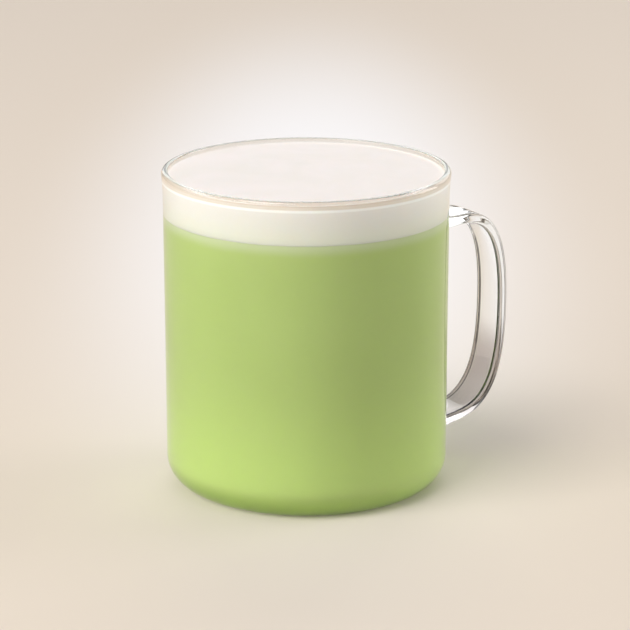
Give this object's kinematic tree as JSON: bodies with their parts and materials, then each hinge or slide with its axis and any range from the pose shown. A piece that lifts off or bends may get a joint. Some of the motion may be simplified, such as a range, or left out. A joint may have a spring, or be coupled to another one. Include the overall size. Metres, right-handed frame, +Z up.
{
  "type": "matcha latte",
  "caption": "Clear glass mug with a flat strap handle, filled with green matcha latte under a layer of white milk foam.",
  "frame": {"origin": "centre of the mug's base, on the surface that it stands on", "axes": "+Z up along the mug's axis, +X towards the handle, +Y to the left of the handle"},
  "size_m": [0.1045, 0.0808, 0.0906],
  "materials": {
    "clear_glass": "clear heat-resistant glass, smooth and polished",
    "matcha_latte": "opaque milky green drink, glossy where it wets the glass",
    "milk_foam": "fine wet milk foam, warm white and soft"
  },
  "bodies": {
    "root": {"mug": "clear_glass", "latte": "matcha_latte", "milk_foam": "milk_foam"}
  },
  "joints": []
}
